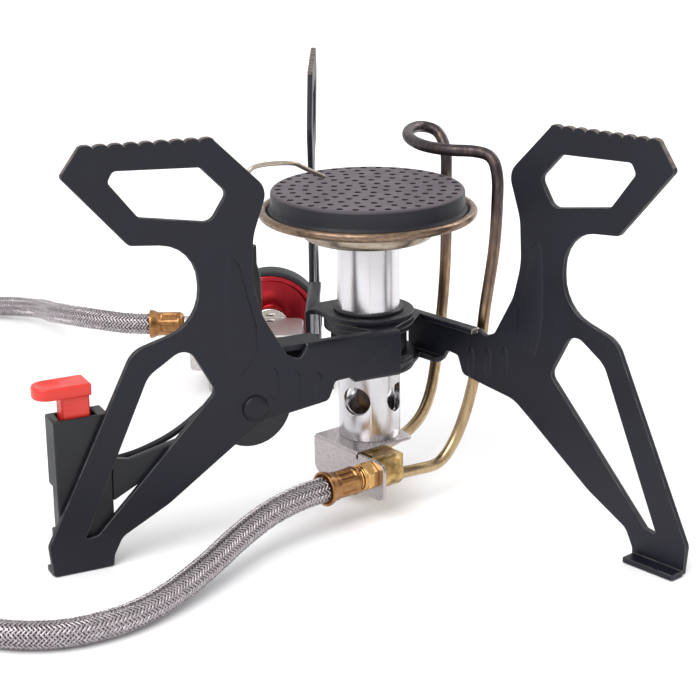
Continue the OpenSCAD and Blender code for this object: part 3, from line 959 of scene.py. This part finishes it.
@dataclass
class FoldingLeg:
    """A sheet leg and pot support with pressed ribs."""

    side: LegSide
    edge: float = 0.2
    plate_out: float = 17.35
    plate_in: float = 15.85
    rib_height: float = 0.3
    rib_slope: float = 0.7
    rib_sunk: float = 0.03
    rib_foot: float = 0.3
    rib_steps: int = 6
    rib_end_steps: int = 3
    # Where the arm's flange is cut off, how low its cut end may be, and how low the teeth may be
    cut_end: float = 25.9
    flange_low: float = 40.0
    tooth_low: float = 105.0
    # The end of the left arm's top flange, which runs on behind the notch and turns down at its back
    tongue: tuple[tuple[Point, Point], ...] = (
        ((21.0, 7.6, 49.3), (35.0, 15.4, 50.75)),
        ((21.0, 7.6, 44.6), (35.0, 8.9, 49.3)),
    )
    # Each rib is a row of places (t, z) with its half width, all in mm
    short_ribs: tuple[tuple[Point, ...], ...] = (
        ((23.6, 34.2, 0.4), (23.6, 36, 1.5), (23.6, 41.5, 1.5), (23.6, 43.5, 0.4)),
        ((29.9, 35.7, 0.4), (29.9, 37.5, 1.5), (29.9, 43.0, 1.5), (29.9, 45.0, 0.4)),
        ((36.0, 37.0, 0.4), (36.0, 38.8, 1.5), (36.0, 44.6, 1.5), (36.0, 46.6, 0.4)),
    )
    leaf_rib: tuple[Point, ...] = (
        (47.0, 77.8, 0.4), (46.6, 74.5, 2.2), (45.9, 66.0, 3.5), (44.9, 58.0, 4.6), (44.4, 51.0, 4.2),
        (45.3, 47.5, 2.2), (46.0, 44.6, 0.3),
    )

    @property
    def node(self) -> str:
        """Returns the leg's CAD node."""
        return f"leg_{self.side.name.lower()}"

    def place(self, t: float, n: float, z: float) -> Vector:
        """Returns a point of the leg's own frame in the shared frame, in metres."""
        a = math.radians(self.side.value)
        return Vector((t * math.cos(a) - n * math.sin(a), t * math.sin(a) + n * math.cos(a), z)) * MM

    def build(self) -> list[bpy.types.Object]:
        """Builds the leg's plate with paler rounded edges (painted highlight, partly rubbed coat), and its
        ribs.

        Returns:
            The pieces.
        """
        finishes = (BLACK_COAT, BARE_CUT, WORN_TEETH, RUBBED_AND_HIGHLIGHT_EDGE)
        plate = soften(self.node, finishes, self.edge)
        self.wear(plate, finishes)
        ribs = bmesh.new()
        for path in (*self.short_ribs, self.leaf_rib):
            self.add_rib(ribs, path, self.plate_out, 1)
            self.add_rib(ribs, path, self.plate_in, -1)
        if self.side is LegSide.LEFT:
            for low, high in self.tongue:
                self.add_box(ribs, low, high)
        bmesh.ops.recalc_face_normals(ribs, faces=ribs.faces)
        body = body_of(self.node)
        return [plate, make_piece(f"{self.node}_ribs", ribs, (BLACK_COAT,), body)]

    def wear(self, plate: bpy.types.Object, finishes: Sequence[Finish]) -> None:
        """Leaves the cut end of the arm's flange bare and wears the tops of the teeth.

        Args:
            plate: The leg's plate.
            finishes: Its finishes, in the order of its material numbers.
        """
        a = math.radians(self.side.value)
        out = Vector((math.cos(a), math.sin(a), 0))
        for face in plate.data.polygons:
            t, z = face.center.dot(out) / MM, face.center.z / MM
            if face.normal.dot(out) > 0.9 and abs(t - self.cut_end) < 0.5 and z > self.flange_low:
                face.material_index = finishes.index(BARE_CUT)
            elif z > self.tooth_low and face.normal.z > 0.3:
                face.material_index = finishes.index(WORN_TEETH)

    def add_box(self, mesh: bmesh.types.BMesh, low: Point, high: Point) -> None:
        """Adds a box of sheet behind the plate's notch.

        Args:
            mesh: The mesh to add to.
            low: Its least t, n and z.
            high: Its greatest t, n and z.
        """
        corners = [
            mesh.verts.new(self.place(t, n, z))
            for z in (low[2], high[2])
            for t, n in ((low[0], low[1]), (high[0], low[1]), (high[0], high[1]), (low[0], high[1]))
        ]
        for k in range(4):
            m = (k + 1) % 4
            mesh.faces.new((corners[k], corners[m], corners[m + 4], corners[k + 4]))
        mesh.faces.new(corners[:4])
        mesh.faces.new(corners[4:])

    def add_rib(self, mesh: bmesh.types.BMesh, path: Sequence[Point], n: float, outward: int) -> None:
        """Adds one pressed rib, a low plateau with steep soft sides and a foot inside the plate.

        Args:
            mesh: The mesh to add to.
            path: Its places and half widths.
            n: The plate's face that it stands on.
            outward: 1 or -1, the way it stands out.
        """
        stations = self.stations(path)
        rows = []
        for k, (t, z, half) in enumerate(stations):
            ends = smoothstep(min(k, len(stations) - 1 - k) / self.rib_end_steps)
            # Across the rib: sunk foot, foot, slope and plateau, then the same back
            slope = min(self.rib_slope, half)
            across = [(half, -self.rib_foot)]
            across += [
                (half - slope * v, self.rib_height * smoothstep(v) * ends - self.rib_sunk)
                for v in (0.0, 0.25, 0.5, 0.75, 1.0)
            ]
            across += [(-v, lift) for v, lift in reversed(across)]
            rows.append([mesh.verts.new(self.place(t + v, n + outward * lift, z)) for v, lift in across])
        count = len(rows[0])
        for low, high in zip(rows, rows[1:]):
            for k in range(count):
                m = (k + 1) % count
                face = mesh.faces.new((low[k], low[m], high[m], high[k]))
                face.smooth = k < count - 1
        mesh.faces.new(rows[0])
        mesh.faces.new(rows[-1])

    def stations(self, path: Sequence[Point]) -> list[Point]:
        """Fills in a rib's places, so that each stretch has rib_steps steps.

        Args:
            path: Its places and half widths.

        Returns:
            All its places and half widths.
        """
        made, steps = [], self.rib_steps
        for a, b in zip(path, path[1:]):
            made += [tuple(p + (q - p) * k / steps for p, q in zip(a, b)) for k in range(steps)]
        return [*made, path[-1]]


# ---- Burner and gas inlet ----


@dataclass
class Burner:
    """The mixer tube with its perforated cap, pan, collector and hub."""

    tube_edge: float = 0.14
    cap_edge: float = 0.07
    pan_edge: float = 0.1
    collector_edge: float = 0.2
    clip_edge: float = 0.12
    spacer_edge: float = 0.2

    def build(self) -> list[bpy.types.Object]:
        """Builds the burner's pieces.

        Returns:
            The pieces.
        """
        return [
            soften("mixer_tube", (TURNED_ALUMINIUM,), self.tube_edge),
            soften("burner_cap", (CAP_COAT,), self.cap_edge, steps=1),
            soften("burner_cup", (RIM_STEEL,), self.pan_edge),
            soften("burner_collector", (COLLECTOR_STEEL,), self.collector_edge),
            soften("hub_clips", (OXIDE_STEEL,), self.clip_edge),
            # Its rounded edges take the paler edge coat: a painted highlight with a little rubbed coat
            soften("hub_spacer", (BLACK_COAT, RUBBED_AND_HIGHLIGHT_EDGE), self.spacer_edge),
        ]


@dataclass
class GasInlet:
    """The bracket, the brazed block with its jet, the nut and the generator tube."""

    sheet_edge: float = 0.14
    block_edge: float = 0.3
    nut_edge: float = 0.22
    tube_swell: float = 0.07

    def build(self) -> list[bpy.types.Object]:
        """Builds the rounded sheet and brass parts and the smooth tube.

        Returns:
            The pieces.
        """
        return [
            soften("tube_bracket", (BRUSHED_STAINLESS,), self.sheet_edge),
            soften("gas_block", (BRAZED_BRASS,), self.block_edge),
            dress("gas_jet", MACHINED_BRASS),
            soften("inlet_nut", (MACHINED_BRASS,), self.nut_edge),
            swell("generator_tube", GENERATOR_STEEL, self.tube_swell, "generator_tube_smooth"),
        ]


# ---- Igniter ----


@dataclass
class Igniter:
    """The piezo igniter on the left leg, with its lead and its electrode."""

    housing_edge: float = 0.5
    button_edge: float = 0.45
    strap_edge: float = 0.4
    rivet_edge: float = 0.12
    sleeve_edge: float = 0.2
    wire_swell: float = 0.06
    lead_swell: float = 0.09
    # The contact strip: its least n, its width and sheet, and its bends (t, z) from its foot to its tip
    clip_inner: float = 8.7
    clip_width: float = 2.4
    clip_sheet: float = 0.3
    clip_bends: tuple[tuple[float, float], ...] = (
        (93.2, 10.6), (93.9, 12.2), (93.9, 16.5), (92.4, 17.1), (92.6, 20.8),
    )

    def build(self) -> list[bpy.types.Object]:
        """Builds the igniter's pieces.

        Returns:
            The pieces.
        """
        return [
            soften("igniter_housing", (BLACK_ABS,), self.housing_edge),
            soften("igniter_button", (RED_ABS,), self.button_edge),
            soften("igniter_strap", (BLACK_ABS,), self.strap_edge),
            soften("igniter_rivet", (BLACK_COAT,), self.rivet_edge),
            dress("button_spring", SPRING_STEEL),
            dress("piezo_cell", PIEZO_CERAMIC),
            swell("spark_lead", BLACK_ABS, self.lead_swell, "spark_lead_round"),
            soften("electrode_sleeve", (BLACK_ABS,), self.sleeve_edge),
            swell("electrode_wire", ELECTRODE_STEEL, self.wire_swell, "electrode_wire_round"),
            self.contact_clip(),
        ]

    def contact_clip(self) -> bpy.types.Object:
        """Builds the bent contact strip that shows in the housing's slot.

        Returns:
            The clip.
        """
        leg = FoldingLeg(LegSide.LEFT)
        mesh = bmesh.new()
        wide, thick = self.clip_width, self.clip_sheet
        corners = ((0, 0), (0, wide), (thick, wide), (thick, 0))
        rows = [
            [mesh.verts.new(leg.place(t + dt, self.clip_inner + dn, z)) for dt, dn in corners]
            for t, z in self.clip_bends
        ]
        for low, high in zip(rows, rows[1:]):
            for k in range(4):
                n = (k + 1) % 4
                mesh.faces.new((low[k], low[n], high[n], high[k]))
        mesh.faces.new(rows[0][::-1])
        mesh.faces.new(rows[-1])
        bmesh.ops.recalc_face_normals(mesh, faces=mesh.faces)
        return make_piece("contact_clip", mesh, (SPRING_STEEL,), "left_leg")


# ---- Canister valve ----


@dataclass
class CanisterValve:
    """The valve block that screws onto a canister, with its control knob."""

    block_edge: float = 0.5
    skirt_edge: float = 0.25
    gland_edge: float = 0.15
    disc_edge: float = 0.2
    band_edge: float = 0.5
    screw_edge: float = 0.15

    def build(self) -> list[bpy.types.Object]:
        """Builds the rounded block, the knob and what they hold.

        Returns:
            The pieces.
        """
        return [
            soften("valve_body", (BLASTED_ALUMINIUM,), self.block_edge),
            soften("canister_skirt", (BLASTED_ALUMINIUM,), self.skirt_edge),
            soften("gland_nut", (POLISHED_NICKEL,), self.gland_edge),
            soften("knob_disc", (RED_ANODISED,), self.disc_edge),
            soften("knob_rim", (KNOB_RUBBER,), self.band_edge),
            soften("knob_screw", (SPRING_STEEL,), self.screw_edge),
            dress("canister_seal", KNOB_RUBBER),
            dress("valve_pin", MACHINED_BRASS),
            dress("spindle_seal", KNOB_RUBBER),
            dress("valve_spindle", MACHINED_BRASS),
        ]


# ---- Studio ----


@dataclass
class Studio:
    """A plain pale floor, soft light and the camera."""

    # The camera's place in mm, its tilt and roll in degrees, and its lens and sensor in mm
    camera_at: Point = (-5.2, -502.3, 207.3)
    pitch: float = 18.38
    roll: float = -0.69
    lens: float = 99.2
    sensor: float = 36.0
    # Each light's name, place and side in metres, and power in watts
    lights: tuple[tuple[str, Point, float, float], ...] = (
        ("key_light", (-0.5, -0.7, 1.0), 0.9, 11.0),
        ("rim_light", (0.8, 0.6, 0.7), 0.6, 5.0),
    )
    # Each flag's name and centre, width and height in metres, and turn in degrees
    flags: tuple[tuple[str, Point, float, float, Point], ...] = (
        ("flag_left", (-0.62, -0.5, 0.2), 0.07, 0.9, (90, 0, -52)),
        ("flag_right", (0.8, -0.12, 0.2), 0.09, 0.9, (90, 0, 80)),
    )
    floor_side: float = 3.0
    floor_gap: float = 0.0002

    def build(self) -> list[bpy.types.Object]:
        """Builds the camera, the floor, the lights and the flags.

        Returns:
            The floor and the flags.
        """
        self.camera()
        self.sky()
        for name, at, size, watts in self.lights:
            self.softbox(name, Vector(at), size, watts)
        under, side = (0, 0, -self.floor_gap), self.floor_side
        floor = self.board("floor", under, side, side, (0, 0, 0), STUDIO_PAPER)
        flags = [self.board(*flag, STUDIO_FLAG) for flag in self.flags]
        for flag in flags:
            flag.visible_camera = False
            flag.visible_shadow = False
            flag.visible_diffuse = False
        return [floor, *flags]

    def camera(self) -> None:
        """Sets the camera that looks slightly down on the stove from the front."""
        p, r = math.radians(self.pitch), math.radians(self.roll)
        forward = Vector((0, math.cos(p), -math.sin(p)))
        level, upright = Vector((1, 0, 0)), Vector((0, math.sin(p), math.cos(p)))
        right = level * math.cos(r) + upright * math.sin(r)
        up = upright * math.cos(r) - level * math.sin(r)
        data = bpy.data.cameras.new("camera")
        data.lens, data.sensor_width = self.lens, self.sensor
        data.clip_start, data.clip_end = 0.01, 20.0
        camera = bpy.data.objects.new("camera", data)
        bpy.context.scene.collection.objects.link(camera)
        turn = Matrix((right, up, -forward)).transposed()
        camera.matrix_world = Matrix.Translation(Vector(self.camera_at) * MM) @ turn.to_4x4()
        bpy.context.scene.camera = camera

    def sky(self) -> None:
        """Lights the scene evenly from all round."""
        scene = bpy.context.scene
        scene.view_settings.view_transform = "Standard"
        scene.world = bpy.data.worlds.new("studio")
        scene.world.use_nodes = True
        background = scene.world.node_tree.nodes["Background"]
        background.inputs["Color"].default_value = (1.0, 1.0, 1.0, 1.0)
        background.inputs["Strength"].default_value = 1.0

    def softbox(self, name: str, at: Vector, size: float, watts: float) -> None:
        """Adds a square soft light that faces the stove.

        Args:
            name: The light's name.
            at: Where it hangs, in metres.
            size: Its side, in metres.
            watts: Its power.
        """
        data = bpy.data.lights.new(name, "AREA")
        data.size, data.energy = size, watts
        light = bpy.data.objects.new(name, data)
        light.location = at
        light.rotation_mode = "QUATERNION"
        light.rotation_quaternion = at.to_track_quat("Z", "Y")
        bpy.context.scene.collection.objects.link(light)

    def board(
        self, name: str, at: Point, width: float, height: float, turn: Point, finish: Finish
    ) -> bpy.types.Object:
        """Adds a flat board.

        Args:
            name: The board's name.
            at: Its centre, in metres.
            width: Its width, in metres.
            height: Its height, in metres.
            turn: Its turn about X, Y and Z, in degrees.
            finish: Its finish.

        Returns:
            The board.
        """
        mesh = bpy.data.meshes.new(name)
        w, h = width / 2, height / 2
        mesh.from_pydata([(-w, -h, 0), (w, -h, 0), (w, h, 0), (-w, h, 0)], [], [(0, 1, 2, 3)])
        mesh.materials.append(finish.material())
        board = bpy.data.objects.new(name, mesh)
        board.location = at
        board.rotation_euler = [math.radians(a) for a in turn]
        bpy.context.scene.collection.objects.link(board)
        return board


def main() -> None:
    """Builds the studio, then the hose, then every other sub-assembly, and reports each piece."""
    logging.basicConfig(level=logging.INFO, format="%(message)s")
    parts = [Studio(), BraidedHose(), *(FoldingLeg(side) for side in LegSide)]
    parts += [Burner(), GasInlet(), Igniter(), CanisterValve()]
    for part in parts:
        for piece in part.build():
            log.info("%s: %s, %d faces", type(part).__name__, piece.name, len(piece.data.polygons))


if __name__ == "__main__":
    main()
